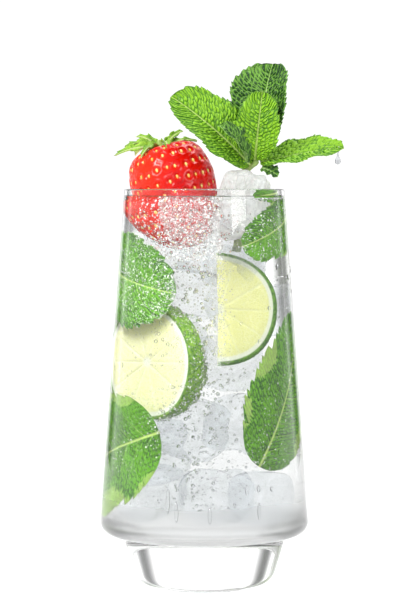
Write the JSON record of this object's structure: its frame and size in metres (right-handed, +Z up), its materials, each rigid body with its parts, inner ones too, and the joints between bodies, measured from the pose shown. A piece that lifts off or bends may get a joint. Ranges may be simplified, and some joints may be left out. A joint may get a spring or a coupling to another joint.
{
  "type": "cocktail in a glass",
  "caption": "Mojito in a stepped tumbler: clear drink over ice with lime and mint in it, topped with a strawberry, ice and a mint sprig.",
  "frame": {"origin": "centre of the flat base of the glass", "axes": "+Z up along the axis of the glass, -Y towards the guest, +X to the guest's right"},
  "size_m": [0.0933, 0.0804, 0.2007],
  "materials": {
    "glass_clear": "clear polished soda-lime glass",
    "drink_clear": "clear sparkling drink, slightly hazy with crushed ice",
    "ice": "wet melting ice with a frosty core",
    "strawberry_flesh": "glossy ripe strawberry skin with pale seeds",
    "calyx_green": "soft green sepals, paler below",
    "mint_stalk_green": "pale green fresh stalk",
    "mint_leaf_green": "fresh green leaf with puckered veins and saw-toothed edge"
  },
  "bodies": {
    "root": {"glass": "glass_clear", "drink": "drink_clear", "strawberry": "strawberry_flesh", "strawberry_calyx": "calyx_green", "mint_stalk": "mint_stalk_green", "ice_cube_main": "ice", "ice_cube_back": "ice", "ice_cube_front": "ice", "mint_leaf_left": "mint_leaf_green", "mint_leaf_back": "mint_leaf_green", "mint_leaf_middle": "mint_leaf_green", "mint_leaf_small": "mint_leaf_green", "mint_leaf_right": "mint_leaf_green", "mint_leaf_low": "mint_leaf_green"}
  },
  "joints": []
}
